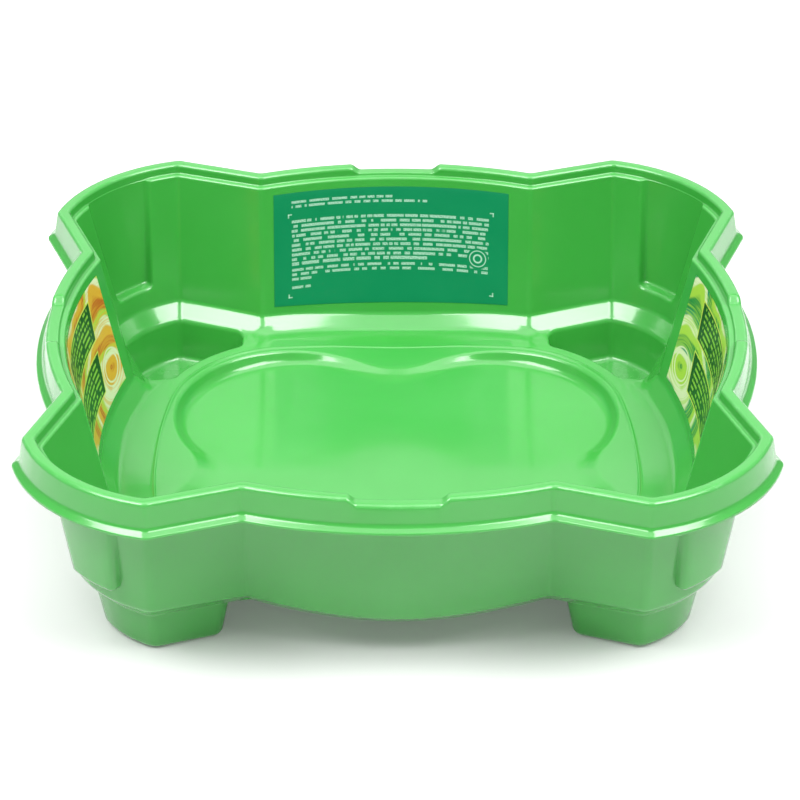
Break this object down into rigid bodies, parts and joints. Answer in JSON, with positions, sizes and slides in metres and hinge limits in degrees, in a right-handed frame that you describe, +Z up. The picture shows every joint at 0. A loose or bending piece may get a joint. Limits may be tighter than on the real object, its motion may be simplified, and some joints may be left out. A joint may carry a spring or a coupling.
{
  "type": "square play tub",
  "caption": "Shallow square moulded play tub with bulged sides, a skirted rim, a clover-shaped bowl in the floor, wells in the corners that form its feet, and printed labels.",
  "frame": {"origin": "on the ground, under the middle of the tub", "axes": "+Z up, +X to the right and +Y towards the side with the back label"},
  "size_m": [0.443, 0.443, 0.126],
  "materials": {
    "moulding": "glossy moulded",
    "back_print": "printed film",
    "left_print": "printed film",
    "right_print": "printed film"
  },
  "bodies": {
    "root": {"tub": "moulding", "back_label": "back_print", "left_label": "left_print", "right_label": "right_print"}
  },
  "joints": []
}
